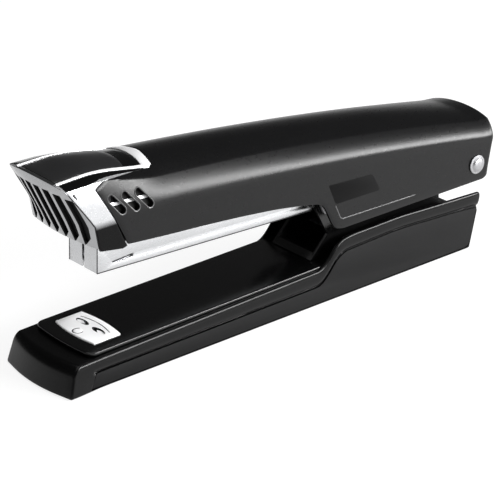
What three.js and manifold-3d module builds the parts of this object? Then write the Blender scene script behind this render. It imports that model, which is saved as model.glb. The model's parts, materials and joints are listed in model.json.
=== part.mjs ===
// Desktop stapler: a hollow base, a magazine and a vaulted cover that turn on one pin at the rear.
// Millimetres, +Z up, the nose at -X. Inside this file X is measured from a datum just behind the
// crimp pockets and Z from the table; the whole model is moved at the end so that X = 0 is its middle.
import * as THREE from 'three';
import { mergeVertices } from 'three/addons/utils/BufferGeometryUtils.js';
import Module from 'manifold-3d';

const wasm = await Module();
wasm.setup();

// ---- driving dimensions ----
const GAP = 0.3;                        // clearance between pieces that touch on the real stapler
const NOSE_X = -25.8;                   // foremost point, at the foot of the base
const REAR_X = 165.4;                   // rearmost point, on the cover
const PIN = { x: 154.2, z: 33.2, radius: 2 };
const PIN_HOLE = PIN.radius + GAP;

const BASE = { nose: 17.05, rear: 16.8, foot: 0.5, crease: 16, wall: 2, noseBow: 0.0125, lean: 0.27 };
const DECK = { front: 12.6, slope: 0.0145, thickness: 1.6, halfWidth: 15.1, nose: -14.6 };
const SOLE = { top: 2.4, inset: 1.4 };
const ANVIL = { front: -9.2, rear: 2.4, halfWidth: 10.5, sunk: 0.5 };
const BRACKET = { halfWidth: 10, sheet: 1.2, rear: 144, ear: 5.5 };
const BRACKET_RIVETS = [108, 134];

const PITCH = THREE.MathUtils.degToRad(2.25);     // the magazine and the cover rest nose-up
const CHANNEL = { front: -158.5, halfWidth: 7.5, sheet: 0.8, bottom: -4.8, top: 5.2 };
const RAIL = { front: -156.2, rear: -14, halfWidth: 5.7, sheet: 0.8, bottom: -2.6, top: 2.6 };
const ROD = { radius: 0.8, z: -0.4, front: -155.1 };
const PUSHER = { front: -155, length: 14, halfWidth: 6.4, top: 4.2 };
const ANCHOR = { front: -24, rear: -15 };

const HOOD = { front: -20, halfFront: 17.6, halfRear: 17.9, wall: 1 };
const SHOULDER = { height: 65.6, slope: -0.052, curve: -0.000395, flank: 8.7, flankSlope: -0.018 };
const SHOULDER_Y = [[-20, 14.8], [13, 13.8], [75, 13], [120, 12.9], [165, 13.3]];
const CROWN = [[-20, 1.9], [13, 4.2], [40, 3.7], [120, 3], [165, 1.8]];
const BACK = { lowest: 32, wall: 1.2 };            // the cover's back wall; the hinge ears pass below it
const FLANK_BULGE = 1.5;
const CROWN_BULGE = 2.2;
const NOSE = { knee: 56, shoulder: 69.1, full: -12, none: 16 };
const HEAD = { radius: 3.5, height: 1.3 };
const FRAME_RIVETS = [6.8, 105];
const FRAME = {
  halfWidth: 11.6, sheet: 1, front: -1, drop: 2.8, ear: 5.4, stations: [30, 60, 90, 120, 146],
};
const BLADE = {
  radius: 157.2, sheet: 0.5, halfWidth: 6.3, tip: 3.6, flange: 21.4, rear: -143, hole: -148.35,
};
const INLAY = { depth: 0.66, thickness: 0.32, halfWidth: 8.9, rear: 11.3 };

// ---- small tools ----
const lerp = THREE.MathUtils.lerp;
const smooth = THREE.MathUtils.smoothstep;

function toSolid(geometry) {
  const bare = geometry.clone();
  bare.deleteAttribute('normal');
  bare.deleteAttribute('uv');
  const merged = mergeVertices(bare, 1e-5);
  const corners = merged.index.array;
  const kept = [];
  for (let i = 0; i < corners.length; i += 3) {
    const [a, b, c] = [corners[i], corners[i + 1], corners[i + 2]];
    if (a !== b && b !== c && c !== a) kept.push(a, b, c);
  }
  return new wasm.Manifold(new wasm.Mesh({
    numProp: 3,
    vertProperties: merged.attributes.position.array,
    triVerts: Uint32Array.from(kept),
  }));
}

function toGeometry(solid) {
  const mesh = solid.getMesh();
  const geometry = new THREE.BufferGeometry();
  geometry.setAttribute('position', new THREE.BufferAttribute(Float32Array.from(mesh.vertProperties), 3));
  geometry.setIndex(new THREE.BufferAttribute(Uint32Array.from(mesh.triVerts), 1));
  geometry.computeVertexNormals();
  return geometry;
}

function outline(points) {
  return new THREE.Shape(points.map(([a, b]) => new THREE.Vector2(a, b)));
}

function extruded(shape, depth, curveSegments = 4) {
  return new THREE.ExtrudeGeometry(shape, { depth, bevelEnabled: false, curveSegments });
}

// an X-Z outline, drawn out along Y
function profile(shape, fromY, toY, curveSegments) {
  return toSolid(extruded(shape, toY - fromY, curveSegments).rotateX(Math.PI / 2).translate(0, toY, 0));
}

// an X-Y outline, drawn out along Z
function plan(shape, fromZ, toZ, curveSegments) {
  return toSolid(extruded(shape, toZ - fromZ, curveSegments).translate(0, 0, fromZ));
}

// a Y-Z outline, drawn out along X
function section(shape, fromX, toX, curveSegments) {
  const turn = new THREE.Matrix4().makeBasis(
    new THREE.Vector3(0, 1, 0), new THREE.Vector3(0, 0, 1), new THREE.Vector3(1, 0, 0));
  return toSolid(extruded(shape, toX - fromX, curveSegments).applyMatrix4(turn).translate(fromX, 0, 0));
}

function block(x0, x1, y0, y1, z0, z1) {
  const box = new THREE.BoxGeometry(x1 - x0, y1 - y0, z1 - z0);
  return toSolid(box.translate((x0 + x1) / 2, (y0 + y1) / 2, (z0 + z1) / 2));
}

function crossBar(radius, halfLength, x, z, sides = 20) {
  return toSolid(new THREE.CylinderGeometry(radius, radius, 2 * halfLength, sides).translate(x, 0, z));
}

function post(radius, x, y, z0, z1, sides = 16) {
  const bar = new THREE.CylinderGeometry(radius, radius, z1 - z0, sides).rotateX(Math.PI / 2);
  return toSolid(bar.translate(x, y, (z0 + z1) / 2));
}

// a gridded box whose points are moved by shape(u, v, w), each running 0 to 1
function shapedBlock(nx, ny, nz, shape) {
  const box = new THREE.BoxGeometry(1, 1, 1, nx, ny, nz);
  const spot = box.attributes.position;
  for (let i = 0; i < spot.count; i += 1) {
    spot.setXYZ(i, ...shape(spot.getX(i) + 0.5, spot.getY(i) + 0.5, spot.getZ(i) + 0.5));
  }
  return toSolid(box);
}

// reads a value from a list of [place, value] stops
function along(stops, place) {
  let i = 1;
  while (i < stops.length - 1 && place > stops[i][0]) i += 1;
  const [a, va] = stops[i - 1];
  const [b, vb] = stops[i];
  return lerp(va, vb, THREE.MathUtils.clamp((place - a) / (b - a), 0, 1));
}

const paint = {
  satinBlack: [0x17181a, 0.45, 0],
  matteBlack: [0x232427, 0.7, 0],
  glossBlack: [0x0b0b0c, 0.15, 0],
  rubber: [0x141414, 0.95, 0],
  chrome: [0xe4e6e8, 0.12, 1],
  brightSteel: [0xd9dadb, 0.28, 1],
  satinSteel: [0xb9babb, 0.4, 1],
  blackSteel: [0x101012, 0.35, 0.3],
  springSteel: [0x8c8f93, 0.35, 1],
  nylon: [0x2b2b2d, 0.6, 0],
};

function piece(name, solid, [color, roughness, metalness]) {
  const material = new THREE.MeshStandardMaterial({ color, roughness, metalness });
  const mesh = new THREE.Mesh(toGeometry(solid), material);
  mesh.name = name;
  return mesh;
}

// ---- base ----
const deckZ = (x) => DECK.front + DECK.slope * x;
const CREASE_LINE = [[-26, 10.6], [82, 12.9], [85.2, 15.1], [88.3, 19], [91.5, 21.6], [96, 22.3],
  [119, 22.7], [160, 20.6]];
const PANEL_LINE = [[-26, 6.1], [81.4, 7.2], [83.9, 8.7], [86.6, 11.7], [89.3, 15], [93.1, 17],
  [118.3, 18], [160, 15.8]];
const STATIONS = [NOSE_X, -19, 0, 40, 78, 81.5, 84, 86.5, 89, 91.5, 95, 105, 119, 140, 157];

function baseHalf(x) {
  return along([[-20, BASE.nose], [84, BASE.rear]], x);
}

// the outer skin of the base; inset > 0 gives the same form drawn inwards by that much
function baseForm(inset, foot) {
  const last = STATIONS.length - 1;
  const shoulder = 3;
  return shapedBlock(last, 8, 2 + shoulder, (u, v, w) => {
    const station = Math.round(u * last);
    const level = Math.round(w * (2 + shoulder));
    const x = STATIONS[station];
    const half = baseHalf(x) - inset;
    const panel = along(PANEL_LINE, x) - inset;
    const crease = along(CREASE_LINE, x) - inset;
    const turn = Math.max(level - 2, 0) / shoulder * Math.PI / 2;
    const edge = lerp(BASE.crease - inset, half, Math.cos(turn));
    const y = (2 * v - 1) * edge;
    const z = [foot, (foot + panel) / 2][level] ?? lerp(panel, crease, Math.sin(turn));
    if (station === 0) return [x + inset + BASE.noseBow * y * y + BASE.lean * z, y, z];
    if (station === last) return [x - inset - 3 + 0.235 * z, y, z];
    return [x, y, z];
  });
}

function deckOutline(front, rear, half, corner) {
  const shape = new THREE.Shape();
  shape.moveTo(rear, -half);
  shape.lineTo(rear, half);
  shape.lineTo(front + corner, half);
  shape.quadraticCurveTo(front + 0.8, half, front + 0.7, half - corner);
  shape.quadraticCurveTo(front, 0, front + 0.7, corner - half);
  shape.quadraticCurveTo(front + 0.8, -half, front + corner, -half);
  return shape;
}

// a plate that follows the slope of the deck, from "low" to "high" above the deck line
function onDeck(shape, low, high) {
  const slab = plan(shape, 0, high - low, 3);
  const lift = new THREE.Matrix4().makeShear(0, DECK.slope, 0, 0, 0, 0).setPosition(0, 0, DECK.front + low);
  return slab.transform(lift.elements);
}

function baseShell() {
  const recess = onDeck(
    deckOutline(DECK.nose - GAP, 200, DECK.halfWidth + GAP, 3.4), -DECK.thickness - GAP, 30);
  const hollow = baseForm(BASE.wall, 1).intersect(block(-60, 200, -30, 30, -1, 8.4));
  const underside = plan(outline([[-18, -14], [-18, 14], [151, 14], [151, -14]]), -5, 4);
  let shell = baseForm(0, BASE.foot).subtract(recess).subtract(hollow).subtract(underside);
  for (const side of [-1, 1]) shell = shell.subtract(sidePanelForm(side, 0.9, GAP));
  return shell.subtract(soleForm(GAP));
}

function soleForm(grow) {
  const half = BASE.rear - SOLE.inset + grow;
  return plan(deckOutline(NOSE_X + 2.6 - grow, 151 + grow, half, 4), 0, SOLE.top + grow, 3);
}

function sidePanelForm(side, depth, grow) {
  const low = 1.2 - grow;
  const shape = outline([
    [-15.4 - grow, low], [151.5 + grow, low], [154.9 + grow, 15.3 + grow], [118.3, 17.4 + grow],
    [94, 16.4 + grow], [89.9, 14.2 + grow], [87.2, 11 + grow], [84.4, 8 + grow], [81.6, 6.6 + grow],
    [-13 - grow, 5.6 + grow]]);
  const inner = Math.min(BASE.nose, BASE.rear) - depth - grow / 2;
  return side > 0 ? profile(shape, inner, 30) : profile(shape, -30, -inner);
}

function sidePanel(side) {
  return sidePanelForm(side, 0.6, 0).intersect(baseForm(0, BASE.foot));
}

function deckPlate() {
  const plate = onDeck(deckOutline(DECK.nose, 150, DECK.halfWidth, 3.2), -DECK.thickness, 0);
  const pocket = onDeck(anvilOutline(GAP), -ANVIL.sunk - GAP, 5);
  const bores = [post(1.6 + GAP, -7.3, 0, 0, 30)];
  for (const x of BRACKET_RIVETS) bores.push(post(1.5 + GAP, x, 0, 0, 30));
  return bores.reduce((left, bore) => left.subtract(bore), plate.subtract(pocket));
}

function anvilOutline(grow) {
  const half = ANVIL.halfWidth + grow;
  const shape = new THREE.Shape();
  shape.moveTo(ANVIL.rear - grow - 0.6 + 2 * grow, -half);
  shape.quadraticCurveTo(ANVIL.rear + 1.6 + grow, 0, ANVIL.rear - 0.6 + grow, half);
  shape.lineTo(ANVIL.front + 0.6 - grow, half);
  shape.quadraticCurveTo(ANVIL.front - 1.8 - grow, 0, ANVIL.front + 0.6 - grow, -half);
  return shape;
}

function anvilPlate() {
  let plate = onDeck(anvilOutline(0), -ANVIL.sunk, 0.5);
  for (const side of [-1, 1]) {
    const dent = new THREE.SphereGeometry(4.2, 16, 10).scale(0.24, 0.76, 0.12).translate(
      -2.2, side * 4, deckZ(-2.2) + 0.5);
    plate = plate.subtract(toSolid(dent));
  }
  return plate.subtract(post(1.6 + GAP, -7.3, 0, 0, 30));
}

function anvilRivet() {
  return post(1.6, -7.3, 0, deckZ(-7.3) - DECK.thickness, deckZ(-7.3) + 0.6);
}

function hingeBracket() {
  const floor = deckZ(83) + GAP;
  const side = new THREE.Shape();
  side.moveTo(83, floor);
  side.lineTo(90.7, 21.8);
  side.lineTo(84.2, 34.4);
  side.lineTo(83, 37.4);
  side.lineTo(88, 40.2);
  side.lineTo(PIN.x, PIN.z + BRACKET.ear);
  side.absarc(PIN.x, PIN.z, BRACKET.ear, Math.PI / 2, -Math.PI * 0.75, true);
  side.lineTo(BRACKET.rear, 22);
  side.lineTo(BRACKET.rear, floor);
  const { halfWidth, sheet } = BRACKET;
  const body = profile(side, -halfWidth, halfWidth, 5);
  const inside = block(60, 200, sheet - halfWidth, halfWidth - sheet, floor + DECK.slope * 61 + sheet, 60);
  const underDeck = onDeck(outline([[60, -20], [200, -20], [200, 20], [60, 20]]), -20, GAP);
  let bracket = body.subtract(inside).subtract(underDeck);
  bracket = bracket.subtract(crossBar(PIN_HOLE, 40, PIN.x, PIN.z));
  for (const x of BRACKET_RIVETS) bracket = bracket.subtract(post(1.5 + GAP, x, 0, 0, 30));
  return bracket;
}

function bracketRivet(x) {
  const floor = deckZ(83) + GAP + DECK.slope * 61 + BRACKET.sheet;
  const top = x === BRACKET_RIVETS[1] ? floor + 0.7 + 2 * GAP : floor;
  const shank = post(1.5, x, 0, deckZ(x) - DECK.thickness, top + GAP + 0.5);
  return shank.add(toSolid(new THREE.CylinderGeometry(1.6, 2.6, 1, 16).rotateX(Math.PI / 2).translate(
    x, 0, top + GAP + 0.5)));
}

function returnSpring() {
  const low = deckZ(83) + DECK.slope * 61 + BRACKET.sheet + 2 * GAP;
  const line = new THREE.Shape();
  line.moveTo(142, low);
  line.lineTo(142, low + 0.7);
  line.lineTo(126, low + 0.7);
  line.quadraticCurveTo(112, low + 1.4, 97.5, 29.4);
  line.lineTo(94, 29);
  line.lineTo(94.2, 28.3);
  line.lineTo(97, 28.5);
  line.quadraticCurveTo(112, low + 0.4, 126, low);
  const strip = profile(line, -3.5, 3.5, 6);
  return strip.subtract(post(1.5 + GAP, BRACKET_RIVETS[1], 0, 0, 30));
}

function hingePin() {
  const shaftEnd = HOOD.halfRear + GAP;
  const face = shaftEnd + HEAD.height;
  const half = [[0, face]];
  for (const turn of [18, 36, 54, 72]) {
    const a = THREE.MathUtils.degToRad(turn);
    half.push([HEAD.radius * Math.sin(a), shaftEnd + HEAD.height * Math.cos(a)]);
  }
  half.push([HEAD.radius, shaftEnd], [PIN.radius, shaftEnd]);
  const lower = half.map(([r, y]) => new THREE.Vector2(r, -y));
  const upper = half.reverse().map(([r, y]) => new THREE.Vector2(r, y));
  return toSolid(new THREE.LatheGeometry([...lower, ...upper], 20).translate(PIN.x, 0, PIN.z));
}

// ---- magazine: X along its own length from the pin, Z square to it ----
function magazineChannel() {
  const { front, halfWidth, sheet, bottom, top } = CHANNEL;
  const side = new THREE.Shape();
  side.moveTo(front, bottom);
  side.lineTo(front, top);
  side.lineTo(0, top);
  side.absarc(0, 0, top, Math.PI / 2, -Math.PI / 3, true);
  side.lineTo(2, bottom);
  let channel = profile(side, -halfWidth, halfWidth, 5);
  const inner = halfWidth - sheet;
  channel = channel.subtract(block(front + sheet, 20, -inner, inner, bottom + sheet, top + 9));
  channel = channel.subtract(block(front + sheet, RAIL.front, -inner, inner, bottom - 1, top));
  channel = channel.subtract(block(front - 1, front + sheet + 1, -0.6, 0.6, bottom - 1, top + 1));
  for (const hand of [-1, 1]) channel = channel.subtract(lengthSlot(hand));
  return channel.subtract(crossBar(PIN_HOLE, 40, 0, 0));
}

// the narrow slanted slot in each side wall, near the front
function lengthSlot(side) {
  const shape = outline([[-152.8, -1.9], [-152, -2.8], [-144.5, -2], [-144.2, -1.1], [-145.2, -1.1]]);
  const [from, to] = [CHANNEL.halfWidth - 2, CHANNEL.halfWidth + 1];
  return side > 0 ? profile(shape, from, to) : profile(shape, -to, -from);
}

function stapleRail() {
  const { front, rear, halfWidth, sheet, bottom, top } = RAIL;
  const body = block(front, rear, -halfWidth, halfWidth, bottom, top);
  const inner = halfWidth - sheet;
  return body.subtract(block(front + sheet, rear + 1, -inner, inner, bottom - 1, top - sheet));
}

function anchorBlock() {
  const inner = CHANNEL.halfWidth - CHANNEL.sheet - GAP;
  const body = block(ANCHOR.front, ANCHOR.rear, -inner, inner, CHANNEL.bottom + CHANNEL.sheet + GAP, 4.4);
  const keep = 0.3;
  const slot = block(RAIL.front, RAIL.rear + 2, -RAIL.halfWidth - keep, RAIL.halfWidth + keep,
    RAIL.bottom - keep, RAIL.top + keep);
  const core = block(ANCHOR.front, ANCHOR.rear, -RAIL.halfWidth + RAIL.sheet + keep,
    RAIL.halfWidth - RAIL.sheet - keep, RAIL.bottom - keep - 0.5, RAIL.top - RAIL.sheet - keep);
  const bore = lengthBar(ROD.radius + keep, RAIL.front, 0);
  return body.subtract(slot).add(core).subtract(bore);
}

function lengthBar(radius, x0, x1) {
  const bar = new THREE.CylinderGeometry(radius, radius, x1 - x0, 12).rotateZ(Math.PI / 2);
  return toSolid(bar.translate((x0 + x1) / 2, 0, ROD.z));
}

function guideRod() {
  const collar = new THREE.CylinderGeometry(1.9, 1.9, 1.2, 16).rotateZ(Math.PI / 2);
  collar.translate(ANCHOR.rear + GAP + 0.6, 0, ROD.z);
  return lengthBar(ROD.radius, ROD.front, ANCHOR.rear + GAP + 1).add(toSolid(collar));
}

function staplePusher() {
  const { front, length, halfWidth, top } = PUSHER;
  const rear = front + length;
  const floor = CHANNEL.bottom + CHANNEL.sheet + GAP;
  const body = block(front, rear, -halfWidth, halfWidth, floor, top);
  const keep = 0.25;
  const rail = block(front - 1, rear + 1, -RAIL.halfWidth - keep, RAIL.halfWidth + keep,
    RAIL.bottom - keep, RAIL.top + keep);
  const core = block(front, rear, -4.5, 4.5, floor, RAIL.top - RAIL.sheet - keep);
  const tab = block(front + 4, front + 6, -4, 4, top - 0.5, top + 3);
  return body.subtract(rail).add(core).add(tab).subtract(lengthBar(ROD.radius + GAP, front - 1, rear + 1));
}

class Helix extends THREE.Curve {
  constructor(x0, x1, radius, turns) {
    super();
    Object.assign(this, { x0, x1, radius, turns });
  }

  getPoint(t, target = new THREE.Vector3()) {
    const a = 2 * Math.PI * this.turns * t;
    return target.set(
      lerp(this.x0, this.x1, t), this.radius * Math.cos(a), ROD.z + this.radius * Math.sin(a));
  }
}

function pusherSpring() {
  const turns = 20;
  const wire = new THREE.Shape().absarc(0, 0, 0.28, 0, 2 * Math.PI);
  const path = new Helix(PUSHER.front + PUSHER.length + 0.6, ANCHOR.front - 0.6, 1.55, turns);
  return toSolid(new THREE.ExtrudeGeometry(wire, {
    steps: turns * 8, curveSegments: 5, bevelEnabled: false, extrudePath: path }));
}

// ---- cover and nose cap ----
function shoulderLine(x) {
  return SHOULDER.height + SHOULDER.slope * x + SHOULDER.curve * x * x;
}

// the shoulder, where the crown meets the flank; it rises into the squared nose
function shoulderZ(x) {
  return lerp(NOSE.shoulder, shoulderLine(x), smooth(x, NOSE.full, NOSE.none));
}

// the knee, where the flank meets the upright side
function kneeZ(x) {
  const flank = SHOULDER.flank + SHOULDER.flankSlope * x;
  return lerp(NOSE.knee, shoulderLine(x) - flank, smooth(x, NOSE.full, NOSE.none));
}

function hoodHalf(x) {
  return along([[0, HOOD.halfFront], [85, HOOD.halfRear]], x);
}

// the cover's outer form: upright sides, leaning flanks and a low crown, from "low" upwards
function hoodForm(inset, rear, low) {
  const skirt = 4;
  const flank = 4;
  return shapedBlock(18, 10, skirt + flank, (u, v, w) => {
    const x = lerp(HOOD.front, rear, u);
    const level = Math.round(w * (skirt + flank));
    const rise = Math.max(level - skirt, 0) / flank;
    const half = hoodHalf(x) - inset;
    const edge = lerp(half, along(SHOULDER_Y, x) - inset, rise ** FLANK_BULGE);
    const across = 2 * v - 1;
    const y = across * edge;
    let z = lerp(kneeZ(x) - inset, shoulderZ(x) - inset, rise);
    if (level < skirt) z = lerp(low, z, level / skirt);
    if (level === skirt + flank) z += along(CROWN, x) * (1 - Math.abs(across) ** CROWN_BULGE);
    return [u < 0.001 ? faceX(y, z) + 1.3 * inset : x, y, z];
  });
}

// how far back the nose face lies at each height, at its middle and at its side edges
const FACE_MIDDLE = [[20, 0.7], [48, -12.4], [67.3, -21.5], [72, -22.9]];
const FACE_EDGE = [[20, 0.7], [48, -10.9], [56, -12.6], [69.1, -20.1], [72, -21.8]];

function faceX(y, z) {
  return lerp(along(FACE_MIDDLE, z), along(FACE_EDGE, z), (y / 16) ** 2);
}

// the cover's rear edge, from its foot up, drawn inwards by "inset"
function rearEdge(inset) {
  const edge = [[161.2, 30], [163.3, 41], [REAR_X - 0.4, 46], [REAR_X, 52], [REAR_X, 90]];
  return edge.map(([x, z]) => [x - inset, z]);
}

function coverSide() {
  const lower = new THREE.Shape();
  lower.moveTo(-40, 50.4);
  lower.lineTo(0.4, 47);
  lower.quadraticCurveTo(40, 44.4, 71, 40.2);
  lower.lineTo(79, 38.6);
  lower.quadraticCurveTo(81.8, 37.9, 83, 34.8);
  lower.lineTo(85.6, 29.4);
  lower.quadraticCurveTo(87, 26.8, 90.5, 26.7);
  lower.lineTo(157, 26.7);
  lower.quadraticCurveTo(160.6, 27, ...rearEdge(0)[0]);
  for (const [x, z] of rearEdge(0).slice(1)) lower.lineTo(x, z);
  lower.lineTo(-40, 90);
  return profile(lower, -30, 30, 5);
}

// everything that belongs to the cap: ahead of the slanted side seam, and the tongue over the top
function capForm(grow) {
  const seam = outline([
    [-60, 20], [1.5 + grow, 20], [0.7 + grow, 46], [-3.9 + grow, 56], [-9.6 + grow, 67.2], [-9.6 + grow, 90],
    [-60, 90]]);
  const tongue = outline([
    [-30, -25], [-9.6 + grow, -25], [-9.6 + grow, -15.2 - grow], [16.3 + grow, -9.4 - grow], [18.2 + grow, 0],
    [16.3 + grow, 9.4 + grow], [-9.6 + grow, 15.2 + grow], [-9.6 + grow, 25], [-30, 25]]);
  return profile(seam, -30, 30).add(plan(tongue, 65.4, 90));
}

function hoodShell() {
  const outer = hoodForm(0, REAR_X, 20);
  const roof = hoodForm(HOOD.wall, REAR_X + 5, 19);
  const [foot, ...above] = rearEdge(BACK.wall);
  const open = REAR_X + 9;
  const ahead = outline([
    [-60, 0], [open, 0], [open, BACK.lowest], [foot[0], BACK.lowest], ...above, [-60, 90]]);
  return { outer, inner: roof.intersect(profile(ahead, -30, 30)) };
}

function coverShell(hood) {
  let shell = hood.outer.subtract(hood.inner).intersect(coverSide());
  shell = shell.subtract(capForm(GAP));
  for (let i = 0; i < 3; i += 1) shell = shell.subtract(sideSlot(i));
  return shell.subtract(crossBar(PIN_HOLE, 40, PIN.x, PIN.z));
}

// three slanted round-ended slots through each side, just behind the cap
function sideSlot(i) {
  const radius = 1.3;
  const lean = Math.atan2(-6.3, 5.1);
  const [dx, dz] = [2.8 * Math.cos(lean), 2.8 * Math.sin(lean)];
  const [cx, cz] = [-2.8 + 5.3 * i, 60.9 - 0.3 * i];
  const shape = new THREE.Shape();
  shape.absarc(cx + dx, cz + dz, radius, lean - Math.PI / 2, lean + Math.PI / 2, false);
  shape.absarc(cx - dx, cz - dz, radius, lean + Math.PI / 2, lean + 1.5 * Math.PI, false);
  return profile(shape, -30, 30, 4);
}

// a bright strip that runs behind the three slots, inside the cover
function slotStrip(side) {
  const ribbon = profile(outline([[-7, 59.9], [12.5, 58.9], [12.5, 61.3], [-7, 62.3]]), -30, 30);
  const near = HOOD.wall + GAP;
  const skin = hoodForm(near, REAR_X, 20).subtract(hoodForm(near + 0.7, REAR_X + 1, 19));
  const half = side > 0 ? block(-60, 60, 5, 30, 0, 90) : block(-60, 60, -30, -5, 0, 90);
  return skin.intersect(ribbon).intersect(half);
}

function noseCap(hood) {
  const foot = outline([
    [-60, 47.9], [-11, 47.6], [-1.4, 46.1], [0.2, 46.8], [60, 46.8], [60, 90], [-60, 90]]);
  let cap = hood.outer.subtract(hood.inner).intersect(capForm(0)).intersect(profile(foot, -30, 30));
  for (let i = -3; i <= 3; i += 1) cap = cap.subtract(grilleSlot(i * 4.5));
  const below = hood.outer.translate([0, 0, -INLAY.depth]);
  for (const shape of [inlayOutline(GAP), bandOutline(1, GAP), bandOutline(-1, GAP)]) {
    cap = cap.subtract(plan(shape, 60, 80).subtract(below));
  }
  return cap;
}

// one of the seven upright slots of the nose grille, with a slanted saw-tooth foot
function grilleSlot(y) {
  const top = 67.3 - 0.008 * y * y;
  const shape = outline([
    [y + 1.6, 48.6], [y + 1, top], [y - 2.2, top], [y - 1.6, 51.3]]);
  return section(shape, -40, -7);
}

// a thin plate let into the top of the cap
function capInlay(hood, shape) {
  const top = hood.outer.translate([0, 0, INLAY.thickness + GAP - INLAY.depth]);
  return plan(shape, 60, 80).intersect(top).subtract(hood.outer.translate([0, 0, GAP - INLAY.depth]));
}

function inlayOutline(grow) {
  const half = INLAY.halfWidth + grow;
  const rear = INLAY.rear + grow;
  return outline([[-30, -half], [rear, -half], [rear + 0.9, 0], [rear, half], [-30, half]]);
}

// the dark band beside the inlay, tapering to the rear between two bright strips
function bandOutline(side, grow) {
  const points = [
    [-30, 11.6 - grow], [11 + grow, 10.5 - grow], [11 + grow, 10.6 + grow],
    [-6.1 + grow, 12.5 + grow], [-9.3 + grow, 13.4 + grow], [-10.2 + grow, 14 + grow],
    [-30, 14 + grow]];
  return outline(side > 0 ? points : points.map(([x, y]) => [x, -y]).reverse());
}

// ---- inside the cover ----
function coverFrame() {
  const side = new THREE.Shape();
  side.moveTo(FRAME.front, 48.6);
  side.lineTo(FRAME.front, shoulderZ(FRAME.front) - FRAME.drop);
  for (const x of FRAME.stations) side.lineTo(x, shoulderZ(x) - FRAME.drop);
  side.absarc(PIN.x, PIN.z, FRAME.ear, Math.PI / 3, -Math.PI / 2, true);
  side.lineTo(150, 28);
  side.lineTo(92, 28);
  side.lineTo(87.5, 31);
  side.lineTo(84.5, 37);
  side.lineTo(80, 40.2);
  side.lineTo(40, 45.4);
  const { halfWidth, sheet } = FRAME;
  const outer = profile(side, -halfWidth, halfWidth, 5);
  const under = [[FRAME.front - 5, 0], [FRAME.front - 5, shoulderZ(FRAME.front) - FRAME.drop - sheet]];
  for (const x of FRAME.stations) under.push([x, shoulderZ(x) - FRAME.drop - sheet]);
  under.push([175, 40], [175, 0]);
  const inner = profile(outline(under), sheet - halfWidth, halfWidth - sheet);
  let frame = outer.subtract(inner).subtract(crossBar(PIN_HOLE, 40, PIN.x, PIN.z));
  for (const x of FRAME_RIVETS) frame = frame.subtract(post(1.5 + GAP, x, 0, 30, 80));
  return frame;
}

function frameRivet(x) {
  const under = shoulderZ(x) - FRAME.drop - FRAME.sheet;
  const head = new THREE.CylinderGeometry(2.6, 1.8, 0.9, 16).rotateX(Math.PI / 2);
  const low = x > 50 ? under - 1.5 : under - 2.3;
  return post(1.5, x, 0, low - 0.6, under + FRAME.sheet).add(toSolid(head.translate(x, 0, low - 0.7)));
}

function coverSpring() {
  const z = shoulderZ(105) - FRAME.drop - FRAME.sheet - GAP;
  const line = new THREE.Shape();
  line.moveTo(112, z - 1.6);
  line.lineTo(112, z - 0.9);
  line.lineTo(98, z + 0.4);
  line.quadraticCurveTo(66, z + 0.6, 33, 44.3);
  line.lineTo(28, 45);
  line.lineTo(27.9, 44.3);
  line.lineTo(33, 43.5);
  line.quadraticCurveTo(66, z - 0.2, 98, z - 0.4);
  return profile(line, -6.8, 6.8, 6).subtract(post(1.5 + GAP, FRAME_RIVETS[1], 0, 30, 80));
}

// the blade is curved to its distance from the pin, so that it slides down the slot without rubbing
function driverBlade() {
  const { radius, sheet, halfWidth, tip, flange, rear, hole } = BLADE;
  const low = Math.PI - Math.asin(tip / radius);
  const high = Math.PI - Math.asin(flange / radius);
  const side = new THREE.Shape();
  side.absarc(0, 0, radius + sheet / 2, low, high, true);
  side.lineTo(rear, flange + 0.4);
  side.lineTo(rear, flange - 0.4);
  side.lineTo(-(radius - sheet / 2) * Math.cos(Math.PI - high), flange - 0.4);
  side.absarc(0, 0, radius - sheet / 2, high + 0.003, low, false);
  const blade = profile(side, -halfWidth, halfWidth, 5);
  return blade.subtract(post(1.5 + 2 * GAP, hole, 0, flange - 5, flange + 5));
}

// ---- assembly ----
const stapler = new THREE.Group();

stapler.add(
  piece('base_shell', baseShell(), paint.satinBlack),
  piece('base_sole', soleForm(0), paint.rubber),
  piece('side_panel_left', sidePanel(1), paint.matteBlack),
  piece('side_panel_right', sidePanel(-1), paint.matteBlack),
  piece('deck_plate', deckPlate(), paint.glossBlack),
  piece('anvil_plate', anvilPlate(), paint.brightSteel),
  piece('anvil_rivet', anvilRivet(), paint.brightSteel),
  piece('hinge_bracket', hingeBracket(), paint.blackSteel),
  piece('bracket_rivet_front', bracketRivet(BRACKET_RIVETS[0]), paint.satinSteel),
  piece('bracket_rivet_rear', bracketRivet(BRACKET_RIVETS[1]), paint.satinSteel),
  piece('return_spring', returnSpring(), paint.springSteel),
  piece('hinge_pin', hingePin(), paint.satinSteel));

const magazine = new THREE.Group();
magazine.position.set(PIN.x, 0, PIN.z);
magazine.rotation.y = PITCH;
magazine.add(
  piece('magazine_channel', magazineChannel(), paint.brightSteel),
  piece('staple_rail', stapleRail(), paint.brightSteel),
  piece('anchor_block', anchorBlock(), paint.nylon),
  piece('guide_rod', guideRod(), paint.satinSteel),
  piece('staple_pusher', staplePusher(), paint.satinSteel),
  piece('pusher_spring', pusherSpring(), paint.springSteel));
stapler.add(magazine);

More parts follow.
